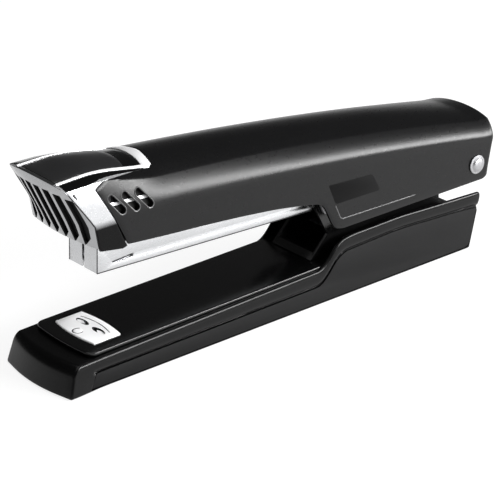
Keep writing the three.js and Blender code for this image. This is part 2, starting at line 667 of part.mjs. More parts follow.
const hood = hoodShell();
stapler.add(
  piece('cover_shell', coverShell(hood), paint.satinBlack),
  piece('cover_frame', coverFrame(), paint.satinSteel),
  piece('cover_spring', coverSpring(), paint.springSteel),
  piece('spring_rivet', frameRivet(FRAME_RIVETS[1]), paint.satinSteel),
  piece('blade_rivet', frameRivet(FRAME_RIVETS[0]), paint.satinSteel),
  piece('slot_strip_left', slotStrip(1), paint.chrome),
  piece('slot_strip_right', slotStrip(-1), paint.chrome),
  piece('nose_cap', noseCap(hood), paint.chrome),
  piece('cap_inlay', capInlay(hood, inlayOutline(0)), paint.glossBlack),
  piece('cap_band_left', capInlay(hood, bandOutline(1, 0)), paint.glossBlack),
  piece('cap_band_right', capInlay(hood, bandOutline(-1, 0)), paint.glossBlack));

const blade = new THREE.Group();
blade.position.copy(magazine.position);
blade.rotation.copy(magazine.rotation);
blade.add(piece('driver_blade', driverBlade(), paint.satinSteel));
stapler.add(blade);

// the origin is under the middle of the whole stapler
stapler.position.x = -new THREE.Box3().setFromObject(stapler).getCenter(new THREE.Vector3()).x;

export default stapler;
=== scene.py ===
"""Looks of the desktop stapler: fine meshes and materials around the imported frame, in metres."""
import json
import math

import bmesh
import bpy
import numpy as np
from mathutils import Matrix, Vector

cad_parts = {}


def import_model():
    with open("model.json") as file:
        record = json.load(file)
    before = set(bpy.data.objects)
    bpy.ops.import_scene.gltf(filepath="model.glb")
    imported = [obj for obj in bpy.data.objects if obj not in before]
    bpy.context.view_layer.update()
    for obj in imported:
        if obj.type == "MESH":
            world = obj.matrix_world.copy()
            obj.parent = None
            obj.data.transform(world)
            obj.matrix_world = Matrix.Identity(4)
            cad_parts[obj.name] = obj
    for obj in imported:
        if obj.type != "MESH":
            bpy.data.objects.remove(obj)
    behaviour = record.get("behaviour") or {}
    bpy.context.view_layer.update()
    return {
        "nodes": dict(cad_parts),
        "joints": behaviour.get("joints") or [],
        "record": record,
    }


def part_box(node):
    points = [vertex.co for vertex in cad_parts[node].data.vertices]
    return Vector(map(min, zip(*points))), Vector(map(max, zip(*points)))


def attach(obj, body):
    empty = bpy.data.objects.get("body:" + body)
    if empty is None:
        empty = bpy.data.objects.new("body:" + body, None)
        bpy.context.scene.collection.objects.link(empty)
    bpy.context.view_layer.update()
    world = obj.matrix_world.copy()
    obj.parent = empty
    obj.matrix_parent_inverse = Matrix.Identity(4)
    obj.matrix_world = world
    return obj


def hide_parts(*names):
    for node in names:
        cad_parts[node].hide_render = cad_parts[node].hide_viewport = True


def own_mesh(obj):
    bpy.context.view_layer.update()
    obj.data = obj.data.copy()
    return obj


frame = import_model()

MM = 0.001
PIN = Vector(frame["joints"][0]["pos_m"]) / MM
PITCH = math.radians(2.25)              # the magazine and the blade rest nose-up by this much
PIN_X = 154.2                           # the pin, from the datum just behind the crimp pockets
SHIFT = PIN.x - PIN_X                   # from that datum to the frame's origin, in mm
GAP = 0.3


# ---- small tools ----
def at(x, y, z):
    """A point in millimetres from the datum, in metres in the frame."""
    return Vector(((x + SHIFT) * MM, y * MM, z * MM))


def lerp(a, b, t):
    return a + (b - a) * t


def smooth(x, low, high):
    t = min(max((x - low) / (high - low), 0.0), 1.0)
    return t * t * (3 - 2 * t)


def along(stops, place):
    """A value read from a list of (place, value) stops."""
    places, values = zip(*stops)
    return float(np.interp(place, places, values))


def eased(stops, place, reach):
    """The same, with the corners rounded over "reach" on either side."""
    return sum(along(stops, place + reach * k / 4) for k in range(-4, 5)) / 9


def make(name, points, faces):
    mesh = bpy.data.meshes.new(name)
    mesh.from_pydata([at(*p) for p in points], [], faces)
    mesh.validate()
    obj = bpy.data.objects.new(name, mesh)
    bpy.context.scene.collection.objects.link(obj)
    return obj


def grid(name, rows, closed=False, caps=False):
    """A sheet through rows of points; closed joins each row's ends, caps fills the first and last rows."""
    count = len(rows[0])
    points = [p for row in rows for p in row]
    faces = []
    for i in range(len(rows) - 1):
        for j in range(count if closed else count - 1):
            k = (j + 1) % count
            faces.append((i * count + j, i * count + k, (i + 1) * count + k, (i + 1) * count + j))
    if caps:
        faces.append(tuple(reversed(range(count))))
        faces.append(tuple(range((len(rows) - 1) * count, len(rows) * count)))
    return make(name, points, faces)


def prism(name, outline, low, high, place):
    """An outline of (a, b) pairs drawn out from low to high; place(a, b, c) gives the points."""
    rows = [[place(a, b, c) for a, b in outline] for c in (low, high)]
    return outward(grid(name, rows, closed=True, caps=True))


def outward(obj):
    """Turns every face outwards."""
    mesh = bmesh.new()
    mesh.from_mesh(obj.data)
    bmesh.ops.recalc_face_normals(mesh, faces=mesh.faces)
    mesh.to_mesh(obj.data)
    mesh.free()
    return obj


def settle(obj):
    """Applies the modifiers."""
    graph = bpy.context.evaluated_depsgraph_get()
    mesh = bpy.data.meshes.new_from_object(obj.evaluated_get(graph))
    obj.modifiers.clear()
    obj.data = mesh
    return obj


def bevelled(obj, width, segments=2, angle=35):
    bevel = obj.modifiers.new("edge", "BEVEL")
    bevel.width = width * MM
    bevel.segments = segments
    bevel.angle_limit = math.radians(angle)
    bevel.use_clamp_overlap = True
    bevel.miter_outer = "MITER_ARC"
    bevel.harden_normals = False
    return settle(obj)


def thickened(obj, depth):
    """Gives a sheet its thickness, inwards from its face."""
    shell = obj.modifiers.new("wall", "SOLIDIFY")
    shell.thickness = depth * MM
    shell.offset = -1
    shell.use_even_offset = False
    shell.material_offset = 1
    shell.material_offset_rim = 0
    return settle(obj)


def cut(obj, tools):
    """Cuts the tools out of a piece and clears them away."""
    for tool in tools:
        boolean = obj.modifiers.new("cut", "BOOLEAN")
        boolean.operation = "DIFFERENCE"
        boolean.solver = "EXACT"
        boolean.object = tool
    settle(obj)
    for tool in tools:
        bpy.data.objects.remove(tool)
    return obj


def joined(name, parts):
    """One object from several, keeping each one's materials."""
    for obj in bpy.context.selected_objects:
        obj.select_set(False)
    for obj in parts:
        obj.select_set(True)
    bpy.context.view_layer.objects.active = parts[0]
    bpy.ops.object.join()
    parts[0].name = name
    return parts[0]


def painted(obj, *looks):
    for look in looks:
        obj.data.materials.append(look)
    return obj


def soften(obj, angle=38):
    obj.data.shade_smooth()
    obj.data.set_sharp_from_angle(angle=math.radians(angle))
    return obj


def body_of(node):
    return next(b for b, nodes in frame["record"]["behaviour"]["bodies"].items() if node in nodes)


def slot_of(node):
    return next(s["material_slot"] for s in frame["record"]["subparts"] if s["node"] == node)


def place(obj, node, *materials):
    """Makes a finished piece stand for a node, in its materials."""
    if not obj.data.materials:
        painted(obj, *materials)
    obj.name = node + "_fine"
    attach(obj, body_of(node))
    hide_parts(node)
    slot_of(node)
    return obj


def refined(node, width, look, segments=2, flatten=None):
    """The node's own shape with its edges rounded; flatten=(height, share) presses it towards a height."""
    source = frame["nodes"][node]
    obj = bpy.data.objects.new(node, source.data.copy())
    bpy.context.scene.collection.objects.link(obj)
    mesh = bmesh.new()
    mesh.from_mesh(obj.data)
    bmesh.ops.remove_doubles(mesh, verts=mesh.verts, dist=0.002 * MM)
    flat = math.radians(1.5)
    bmesh.ops.dissolve_limit(mesh, angle_limit=flat, verts=mesh.verts, edges=mesh.edges)
    if flatten:
        height, share = flatten
        for vertex in mesh.verts:
            vertex.co.z = lerp(height, vertex.co.z, share)
    mesh.to_mesh(obj.data)
    mesh.free()
    obj.data.materials.clear()
    bevelled(obj, width, segments, 30)
    soften(obj)
    return place(obj, node, look)


# ---- materials ----
class Look:
    """Builds a node material: colour, roughness and relief that vary over the surface."""

    def __init__(self, name, rough, metallic=0.0, level=0.5):
        self.material = bpy.data.materials.new(name)
        self.material.use_nodes = True
        self.tree = self.material.node_tree
        self.shader = self.tree.nodes["Principled BSDF"]
        self.shader.inputs["Metallic"].default_value = metallic
        self.shader.inputs["Roughness"].default_value = rough
        self.shader.inputs["Specular IOR Level"].default_value = level
        self.where = self.tree.nodes.new("ShaderNodeTexCoord").outputs["Object"]

    def noise(self, size, detail=3.0, stretch=(1, 1, 1)):
        """Noise whose features are about "size" millimetres across."""
        mapping = self.tree.nodes.new("ShaderNodeMapping")
        mapping.inputs["Scale"].default_value = stretch
        self.tree.links.new(self.where, mapping.inputs["Vector"])
        noise = self.tree.nodes.new("ShaderNodeTexNoise")
        noise.inputs["Scale"].default_value = 1 / (size * MM)
        noise.inputs["Detail"].default_value = detail
        self.tree.links.new(mapping.outputs["Vector"], noise.inputs["Vector"])
        return noise.outputs["Fac"]

    def spread(self, source, low, high, start=0.3, end=0.7):
        """Maps a factor from start..end to low..high."""
        ramp = self.tree.nodes.new("ShaderNodeMapRange")
        ramp.inputs["From Min"].default_value = start
        ramp.inputs["From Max"].default_value = end
        ramp.inputs["To Min"].default_value = low
        ramp.inputs["To Max"].default_value = high
        self.tree.links.new(source, ramp.inputs["Value"])
        return ramp.outputs["Result"]

    def colour(self, one, two, factor):
        mix = self.tree.nodes.new("ShaderNodeMix")
        mix.data_type = "RGBA"
        self.tree.links.new(factor, mix.inputs[0])
        mix.inputs[6].default_value = (*one, 1)
        mix.inputs[7].default_value = (*two, 1)
        self.tree.links.new(mix.outputs[2], self.shader.inputs["Base Color"])
        return self

    def roughness(self, low, high, source):
        self.tree.links.new(self.spread(source, low, high), self.shader.inputs["Roughness"])
        return self

    def relief(self, depth, *sources):
        """Bumps of "depth" millimetres, one layer for each source."""
        normal = None
        for source in sources:
            bump = self.tree.nodes.new("ShaderNodeBump")
            bump.inputs["Distance"].default_value = depth * MM
            bump.inputs["Strength"].default_value = 1.0
            self.tree.links.new(source, bump.inputs["Height"])
            if normal:
                self.tree.links.new(normal, bump.inputs["Normal"])
            normal = bump.outputs["Normal"]
        self.tree.links.new(normal, self.shader.inputs["Normal"])
        return self

    def height(self):
        """Height above the table, in metres."""
        split = self.tree.nodes.new("ShaderNodeSeparateXYZ")
        self.tree.links.new(self.where, split.inputs["Vector"])
        return split.outputs["Z"]


def plastic(name, shade, rough, grain, depth, level=0.5):
    """Moulded plastic: a fine grain over a faint mottle."""
    look = Look(name, rough, level=level)
    mottle = look.noise(9.0)
    look.colour([0.86 * c for c in shade], [1.14 * c for c in shade], mottle)
    look.roughness(rough - 0.02, rough + 0.02, look.noise(1.2, 3.0))
    look.relief(depth, look.noise(grain, 2.0))
    return look.material


def metal(name, shade, rough, brush=(1, 1, 1), depth=0.004, size=1.2, metallic=1.0):
    """Steel or chrome; brush stretches the marks along an axis."""
    look = Look(name, rough, metallic)
    marks = look.noise(size, 6.0, brush)
    look.colour([0.93 * c for c in shade], shade, look.noise(6.0))
    look.roughness(max(rough - 0.05, 0.03), rough + 0.07, marks)
    look.relief(depth, marks)
    return look.material


def chrome_painted_dark_below(name, shade, dark, low, high):
    """Satin chrome whose colour turns dark below a height, in millimetres: a painted dark reflection on the
    cap's lower sides.
    """
    look = Look(name, 0.26, 0.55, level=0.2)
    rise = look.spread(look.height(), 0.0, 1.0, low * MM, high * MM)
    look.colour(dark, shade, rise)
    look.roughness(0.24, 0.28, look.noise(0.5, 3.0))
    look.relief(0.00015, look.noise(0.3, 2.0))
    return look.material


COVER = plastic("cover_plastic", (0.0036, 0.0036, 0.0038), 0.29, 0.22, 0.0012, level=0.2)
BASE = plastic("base_plastic", (0.0018, 0.0018, 0.0019), 0.24, 0.5, 0.0008, level=0.17)
PANEL = plastic("panel_plastic", (0.0042, 0.0042, 0.0044), 0.55, 0.16, 0.005, level=0.13)
SOLE = plastic("sole_rubber", (0.006, 0.006, 0.006), 0.85, 0.5, 0.03)
DECK = plastic("deck_lacquer", (0.0015, 0.0015, 0.0016), 0.2, 4.0, 0.0004)
ENAMEL = plastic("bracket_enamel", (0.002, 0.002, 0.0021), 0.22, 0.9, 0.002)
INLAY = plastic("inlay_gloss", (0.0015, 0.0015, 0.0015), 0.16, 3.0, 0.0005, level=0.4)
INLAY_FACE = plastic("inlay_face", (0.013, 0.013, 0.0135), 0.3, 0.3, 0.001)
# dark plastic for inner faces, and for the sheets of painted shade behind the slots and in the seam
INNER_BLACK_AND_SHADE = plastic("inner_black_and_shade_sheets", (0.002, 0.002, 0.002), 0.6, 0.3, 0.005, level=0.2)
LINE = plastic("raised_line", (0.055, 0.055, 0.056), 0.3, 0.3, 0.001)
LABEL_FACE = plastic("label_face", (0.0015, 0.0015, 0.0016), 0.3, 0.3, 0.001, level=0.1)
NYLON = plastic("nylon", (0.02, 0.02, 0.021), 0.5, 0.4, 0.006)
# the cap's chrome, painted dark below 54.9 to 57.2 mm as a painted dark reflection
CHROME_PAINTED_DARK_LOW = chrome_painted_dark_below("chrome_trim", (0.4, 0.404, 0.412), (0.0025, 0.0025, 0.0026), 54.9, 57.2)
RIM = metal("rim_chrome", (0.36, 0.363, 0.37), 0.2, (1, 1, 1), 0.0006, 2.0)
BRIGHT = metal("bright_steel", (0.54, 0.545, 0.555), 0.26, (0.12, 1, 1), 0.0006)
# dark steel: painted shade in the anvil's recesses and a painted dark reflection along the magazine's foot
PAINTED_SHADE_STEEL = metal("painted_shade_steel", (0.05, 0.05, 0.052), 0.4, (0.12, 1, 1), 0.001)
PLAIN = metal("plain_steel", (0.36, 0.36, 0.37), 0.38, (1, 1, 0.2), 0.0008)
SPRING = metal("spring_steel", (0.4, 0.41, 0.42), 0.3, (0.2, 1, 1), 0.0008)
TRIM = metal("trim_nickel", (0.92, 0.92, 0.93), 0.22, (1, 1, 1), 0.0004, 3.0, 0.35)
ANVIL = metal("anvil_nickel", (0.97, 0.97, 0.975), 0.5, (1, 1, 1), 0.0012, 0.35, 0.0)


# ---- the cover's form ----
SHOULDER_Y = [(-20, 14.8), (13, 13.8), (75, 13), (120, 12.9), (165, 13.3)]
CROWN = [(-20, 1.9), (13, 4.2), (40, 3.7), (120, 3), (165, 1.8)]
FACE_MIDDLE = [(20, 0.7), (48, -12.4), (67.3, -21.5), (72, -22.9)]
FACE_EDGE = [(20, 0.7), (48, -10.9), (56, -12.6), (69.1, -20.1), (72, -21.8)]
REAR_EDGE = [(26, 160.9), (30, 161.2), (41, 163.3), (46, 165), (52, 165.4)]
SEAM = [(46, 0.7), (56, -3.9), (67.2, -9.6)]
TONGUE = [(0, 18.2), (9.4, 16.3), (15.2, -9.6)]


def shoulder_line(x):
    return 65.6 - 0.052 * x - 0.000395 * x * x


def squareness(x):
    return smooth(x, -12, 16)


def shoulder_z(x):
    return lerp(69.1, shoulder_line(x), squareness(x))


def knee_z(x):
    return lerp(56, shoulder_line(x) - 8.7 + 0.018 * x, squareness(x))


def half_width(x):
    return along([(0, 17.6), (85, 17.9)], x)


def crown_z(x, y):
    """Height of the top at a place between the shoulders."""
    edge = along(SHOULDER_Y, x)
    return shoulder_z(x) + along(CROWN, x) * (1 - min(abs(y) / edge, 1) ** 2.2)


def face_x(y, z):
    return lerp(along(FACE_MIDDLE, z), along(FACE_EDGE, z), (y / 16) ** 2)


def lower_edge(x):
    """Height of the cover's lower edge."""
    stops = [(-12, 48.2), (0.4, 47), (15, 45.75), (30, 44.75), (45, 43.5), (60, 41.9), (71, 40.2), (79, 38.6),
             (81.5, 37.3), (83, 34.8), (85.6, 29.4), (87.2, 27.5), (90.5, 26.7), (157, 26.7)]
    return eased(stops, x, 0.8)


# rows around the section: ("side", share), ("flank", rise) and ("crown", across)
ROWS = [("side", k / 6) for k in range(6)]
ROWS += [("flank", r) for r in (0, 0.1, 0.2, 0.3, 0.4, 0.5, 0.6, 0.7, 0.78, 0.85, 0.9, 0.95)]
ROWS += [("crown", -a) for a in (1, 0.95, 0.88, 0.8, 0.74, 0.683, 0.6, 0.5, 0.4, 0.3, 0.2, 0.1, 0)]
ROWS = ROWS + [(kind, share if kind != "crown" else -share) for kind, share in reversed(ROWS[:-1])]
MIDDLE = len(ROWS) // 2


def hood_point(index, x, low, inset=0.0):
    """The outer surface at a row of the section; low is the height of the section's foot."""
    kind, share = ROWS[index]
    hand = -1 if index <= MIDDLE else 1
    half = half_width(x) - inset
    edge = along(SHOULDER_Y, x) - inset
    if kind == "side":
        return x, hand * half, lerp(low, knee_z(x) - inset, share)
    if kind == "flank":
        return x, hand * lerp(half, edge, share ** 1.5), lerp(knee_z(x), shoulder_z(x), share) - inset
    y = share * edge
    return x, y, shoulder_z(x) - inset + along(CROWN, x) * (1 - abs(share) ** 2.2)


def joint_x(index):
    """Where the seam between the cap and the cover crosses a row."""
    kind, share = ROWS[index]
    x = 0.0
    for _ in range(40):
        _, y, z = hood_point(index, x, 46.5)
        by_side = kind == "side" or (kind == "flank" and share < 0.85)
        x = lerp(x, along(SEAM, z) if by_side else along(TONGUE, abs(y)), 0.5)
    return x


JOINT_X = [joint_x(i) for i in range(len(ROWS))]


def rear_x(z):
    return eased(REAR_EDGE, z, 2.0)


# ---- cover ----
def cover_rows():
    """Sections from the seam, which is slanted, to the rear edge, which leans."""
    upright = 30.0                      # the sections are upright from here on
    turn = 2.0                          # radius between the top and the rear wall
    begin = 157.0                       # the sections lean from here on
    rows = []
    for k in range(15):
        row = []
        for i in range(len(ROWS)):
            x = lerp(JOINT_X[i] + GAP / 2, upright, k / 14)
            row.append(hood_point(i, x, lower_edge(x)))
        rows.append(row)
    far = [*np.arange(33, 78, 4), *np.arange(79, 93, 0.7), *np.arange(94, 158, 4), begin]
    for x in far:
        rows.append([hood_point(i, x, lower_edge(x)) for i in range(len(ROWS))])
    # the rear: the sections lean to the slanted edge, then roll over into the back wall
    for k in range(1, 15):
        ahead = min(k, 8) / 8
        angle = math.pi / 2 * max(k - 8, 0) / 6
        inset = turn * (1 - math.cos(angle))
        reach = min((2.2 * ahead + turn * math.sin(angle)) / 4.2, 1.0)
        foot = lower_edge(begin) + 3.3 * (1 - math.sqrt(1 - reach * reach))
        row = []
        for i in range(len(ROWS)):
            _, y, z = hood_point(i, begin + 3 * ahead, foot, inset)
            row.append((lerp(begin, rear_x(z) - turn, ahead) + turn * math.sin(angle), y, z))
        rows.append(row)
    return rows


def lozenge(x, z, length, radius, slope):
    """A round-ended slot's outline about its middle."""
    points = []
    for end in (1, -1):
        for k in range(9):
            a = math.pi * (k / 8 - 0.5) + (0 if end > 0 else math.pi)
            points.append((end * length / 2 + radius * math.cos(a), radius * math.sin(a)))
    c, s = math.cos(slope), math.sin(slope)
    return [(x + c * a - s * b, z + s * a + c * b) for a, b in points]


SLOT_SLOPE = math.atan2(-6.3, 5.1)
SLOTS = [(-2.8 + 5.3 * i, 60.9 - 0.3 * i) for i in range(3)]
SLOT_LENGTH = 5.6
SLOT_RADIUS = 1.3
LIP = 0.08                              # how far outside the slot's edge its lip runs


def side_y(x, z, hand):
    """The outer surface's y at a place on the side or flank."""
    rise = min(max((z - knee_z(x)) / (shoulder_z(x) - knee_z(x)), 0), 1)
    return hand * lerp(half_width(x), along(SHOULDER_Y, x), rise ** 1.5)


def rim(name, outline, hand, radius):
    """A thin raised lip that follows an outline over the side of the cover."""
    loops = []
    count = len(outline)
    for i, (x, z) in enumerate(outline):
        nx, nz = outline[(i + 1) % count]
        px, pz = outline[i - 1]
        along_x, along_z = nx - px, nz - pz
        size = math.hypot(along_x, along_z)
        out_x, out_z = along_z / size, -along_x / size
        ring = []
        for k in range(8):
            a = 2 * math.pi * k / 8
            qx = x + radius * math.cos(a) * out_x
            qz = z + radius * math.cos(a) * out_z
            ring.append((qx, side_y(qx, qz, hand) + hand * radius * math.sin(a), qz))
        loops.append(ring)
    return outward(grid(name, loops + [loops[0]], closed=True))


LABEL = [(83.6, 44.2), (103.6, 43.0), (107.6, 36.2), (87.0, 36.4)]


def rounded_outline(corners, radius):
    """An outline with its corners rounded."""
    points = []
    for i, corner in enumerate(corners):
        corner = Vector(corner)
        to_last = (Vector(corners[i - 1]) - corner).normalized() * radius
        to_next = (Vector(corners[(i + 1) % len(corners)]) - corner).normalized() * radius
        for k in range(6):
            t = k / 5
            points.append(tuple((1 - t) ** 2 * (corner + to_last) + 2 * t * (1 - t) * corner
                                + t * t * (corner + to_next)))
    return points


def label(hand):
    """A plain dark panel on the cover's side, underlined by a thin line."""
    side = half_width(95)
    panel = prism("panel", rounded_outline(LABEL, 1.0), side - 0.4, side + 0.06,
                  lambda a, b, c: (a, hand * c, b))
    bevelled(panel, 0.06, 2, 50)
    painted(panel, LABEL_FACE)
    route = [(86.9, 36.0), (88.7, 32.0), (89.1, 31.2), (89.7, 30.6), (90.6, 30.3), (91.6, 30.3)]
    route += [(x, 30.3 - 0.018 * (x - 91.6)) for x in np.linspace(96, 124.1, 8)]
    loops = []
    for i, (x, z) in enumerate(route):
        ahead = Vector(route[min(i + 1, len(route) - 1)]) - Vector(route[max(i - 1, 0)])
        ahead.normalize()
        ring = []
        for k in range(8):
            a = 2 * math.pi * k / 8
            ring.append((x - 0.2 * math.cos(a) * ahead.y, hand * (side + 0.12 * math.sin(a)),
                         z + 0.2 * math.cos(a) * ahead.x))
        loops.append(ring)
    line = outward(grid("line", loops, closed=True, caps=True))
    painted(line, LINE)
    return [soften(panel), soften(line, 60)]


def cover_shell():
    rows = cover_rows()
    obj = grid("cover", rows)
    mesh = bmesh.new()
    mesh.from_mesh(obj.data)
    mesh.verts.ensure_lookup_table()
    count = len(ROWS)
    base = (len(rows) - 1) * count
    for i in range(MIDDLE):
        if rows[-1][i][2] < 31:
            continue
        corners = [base + i, base + i + 1, base + count - 2 - i, base + count - 1 - i]
        corners = list(dict.fromkeys(corners))
        if len(corners) > 2:
            mesh.faces.new([mesh.verts[c] for c in corners])
    bmesh.ops.recalc_face_normals(mesh, faces=mesh.faces)
    mesh.to_mesh(obj.data)
    mesh.free()
    facing_out(obj)
    painted(obj, COVER, INNER_BLACK_AND_SHADE)
    thickened(obj, 1.0)
    bevelled(obj, 0.22, 2, 50)
    tools = []
    for x, z in SLOTS:
        outline = lozenge(x, z, SLOT_LENGTH, SLOT_RADIUS, SLOT_SLOPE)
        tools.append(prism("slot", outline, -30, 30, lambda a, b, c: (a, c, b)))
    cut(obj, tools)
    parts = [soften(obj)]
    for hand in (-1, 1):
        for x, z in SLOTS:
            outline = lozenge(x, z, SLOT_LENGTH, SLOT_RADIUS + LIP, SLOT_SLOPE)
            parts.append(soften(painted(rim("lip", outline, hand, 0.2), LINE)))
        # a dark sheet inside each side behind the slots: painted shade seen through them
        shade_sheet = grid("shade_sheet", [[(x, side_y(x, z, hand) - 2.2 * hand, z) for z in np.linspace(55.5, 65, 8)]
                               for x in np.linspace(-2.5, 14, 10)])
        painted(shade_sheet, INNER_BLACK_AND_SHADE)
        parts += label(hand) + [soften(thickened(shade_sheet, 0.3))]
    parts.append(seam_shade_sheet())
    return place(joined("cover", parts), "cover_shell")


def facing_out(obj):
    """Turns a sheet over if most of it looks at the object's middle."""
    middle = sum((v.co for v in obj.data.vertices), Vector()) / len(obj.data.vertices)
    score = sum(p.normal.dot(p.center - middle) * p.area for p in obj.data.polygons)
    if score < 0:
        obj.data.flip_normals()
    return obj


def slot_strip(hand, node):
    """The bright strip close behind the three slots."""
    rows = [[(x, side_y(x, 60.5 - 0.055 * x + rise, hand) - 1.5 * hand, 60.5 - 0.055 * x + rise)
             for rise in (-0.5, -0.25, 0, 0.25, 0.5)] for x in np.linspace(-5, 12.5, 12)]
    obj = bevelled(thickened(facing_out_from(grid(node, rows), hand), 0.3), 0.06, 2, 50)
    return place(soften(obj), node, TRIM)


def facing_out_from(obj, hand):
    """Turns a sheet to face the given side."""
    if sum(p.normal.y * p.area for p in obj.data.polygons) * hand < 0:
        obj.data.flip_normals()
    return obj


def seam_shade_sheet():
    """A dark sheet that closes the view through the seam between cap and cover: painted shade in the gap."""
    rows = []
    for t in (-2.5, 0, 2.5):
        row = []
        for i in range(len(ROWS)):
            x = JOINT_X[i] + t
            row.append(hood_point(i, x, lower_edge(max(x, 0)) + 0.8, 1.15))
        rows.append(row)
    obj = facing_out(grid("seam", rows))
    painted(obj, INNER_BLACK_AND_SHADE)
    return soften(thickened(obj, 0.25))


# ---- nose cap ----
CAP_FOOT = [(-20, 48.6), (-11, 47.6), (-1.4, 46.1), (0.2, 46.6)]
FACE_DEPTH = 1.6
SLOT_PITCH = 4.5


def cap_sheet():
    rows = []
    steps = 16
    for k in range(steps + 1):
        t = k / steps
        row = []
        for i in range(len(ROWS)):
            end = JOINT_X[i] - GAP / 2
            x = -12.0
            for _ in range(12):
                _, y, z = hood_point(i, x, along(CAP_FOOT, x))
                x = lerp(face_x(y, z) + 0.35, end, t)
            _, y, z = hood_point(i, x, along(CAP_FOOT, x))
            sunk = 0.4 if ROWS[i][0] == "crown" and abs(ROWS[i][1]) <= 0.6 and x < 13.4 else 0.0
            row.append((x, y, z - sunk))
        rows.append(row)
    obj = facing_out(grid("cap", rows))
    painted(obj, CHROME_PAINTED_DARK_LOW, INNER_BLACK_AND_SHADE)
    thickened(obj, 1.0)
    bevelled(obj, 0.2, 2, 50)
    return soften(obj)


def face_outline():
    """The face's outline in (y, z), counter-clockwise from its foot."""
    edge = half_width(-16) - 0.15
    side = [(edge, 48.4), (edge, 52), (edge, 55)]
    flank = []
    for k in range(7):
        rise = k / 6
        flank.append((lerp(edge, 14.65, rise ** 1.5), lerp(56, 69.0, rise)))
    crown = [(14.8 * a, 69.0 + 1.9 * (1 - a ** 2.2)) for a in (0.85, 0.6, 0.4, 0.2)]
    half = side + flank + crown
    middle = [(0.0, 70.9)]
    return half + middle + [(-y, z) for y, z in reversed(half)]


def grille_face():
    """The face plate with its seven slots, made flat and then laid on the curved nose."""
    outline = face_outline()
    flat = prism("face", outline, 0, FACE_DEPTH, lambda a, b, c: (c, a, b))
    tools = []
    for i in range(-3, 4):
        y = i * SLOT_PITCH
        top = 67.3 - 0.008 * y * y
        slot = [(y + 1.6, 47.0), (y + 1.55, 51.6), (y + 1.0, top - 0.2), (y + 0.8, top), (y - 2.0, top),
                (y - 2.2, top - 0.2), (y - 1.75, 51.6), (y + 0.9, 48.7), (y + 1.2, 47.0)]
        tools.append(prism("slot", slot, -5, 5, lambda a, b, c: (c, a, b)))
    cut(flat, tools)
    bevelled(flat, 0.16, 2, 40)
    sliced(flat, "z", np.arange(49.5, 70.5, 3.0))
    sliced(flat, "y", np.arange(-15, 16, 5.0))
    for vertex in flat.data.vertices:
        point = vertex.co / MM
        y, z = point.y, point.z
        depth = point.x - SHIFT
        vertex.co.x = (face_x(y, z) + depth + SHIFT) * MM
    painted(flat, RIM, INNER_BLACK_AND_SHADE)
    flat.data.update()
    for polygon in flat.data.polygons:
        middle = polygon.center / MM
        inward = abs(polygon.normal.y) > 0.55 and middle.z < 68
        if inward or polygon.normal.x > 0.5:
            polygon.material_index = 1
    flat.data.update()
    return soften(flat)


def sliced(obj, axis, places):
    """Cuts a mesh's faces at even places along an axis, so that they can follow a curve."""
    normal = {"y": Vector((0, 1, 0)), "z": Vector((0, 0, 1))}[axis]
    mesh = bmesh.new()
    mesh.from_mesh(obj.data)
    for level in places:
        parts = list(mesh.verts) + list(mesh.edges) + list(mesh.faces)
        bmesh.ops.bisect_plane(mesh, geom=parts, plane_co=normal * float(level) * MM, plane_no=normal)
    mesh.to_mesh(obj.data)
    mesh.free()
    return obj


def strip(name, route, width, height, look):
    """A rounded bright strip laid over the cap's top along a route of (x, y, width share)."""
    rows = []
    for x, y, share in route:
        half = width * share / 2
        ring = []
        for k in range(9):
            a = math.pi * k / 8
            dy = -half * math.cos(a)
            ring.append((x, y + dy, crown_z(x, y + dy) + height * math.sin(a) - 0.05))
        ring.append((x, y + half, crown_z(x, y + half) - 0.25))
        ring.append((x, y - half, crown_z(x, y - half) - 0.25))
        rows.append(ring)
    obj = outward(grid(name, rows, closed=True, caps=True))
    return soften(painted(obj, look), 60)


def plate(name, left, right, front, rear, lift, thick, look):
    """A thin plate on the cap's top; left and right are y as functions of x."""
    rows = []
    for i in range(15):
        row = []
        for j in range(13):
            v = j / 12
            x = lerp(front(v), rear(v), i / 14)
            y = lerp(left(x), right(x), v)
            row.append((x, y, crown_z(x, y) + lift))
        rows.append(row)
    obj = facing_up(grid(name, rows))
    painted(obj, look)
    thickened(obj, thick)
    bevelled(obj, 0.12, 2, 50)
    return soften(obj)


def facing_up(obj):
    if sum(p.normal.z * p.area for p in obj.data.polygons) < 0:
        obj.data.flip_normals()
    return obj


def top_front(v):
    """Where the top of the face lies, across from y = -9 to 9."""
    y = lerp(-9, 9, v)
    return face_x(y, 70.5) + 1.3


def grille_shade_sheet():
    """The dark plate close behind the slots: painted shade seen through them."""
    rows = []
    for k in range(8):
        z = lerp(48.6, 67.8, k / 7)
        rows.append([(face_x(y, z) + FACE_DEPTH + 0.3, y, z) for y in np.linspace(-15.6, 15.6, 9)])
    obj = grid("shade_sheet", rows)
    painted(obj, INNER_BLACK_AND_SHADE)
    return soften(thickened(obj, 0.4))


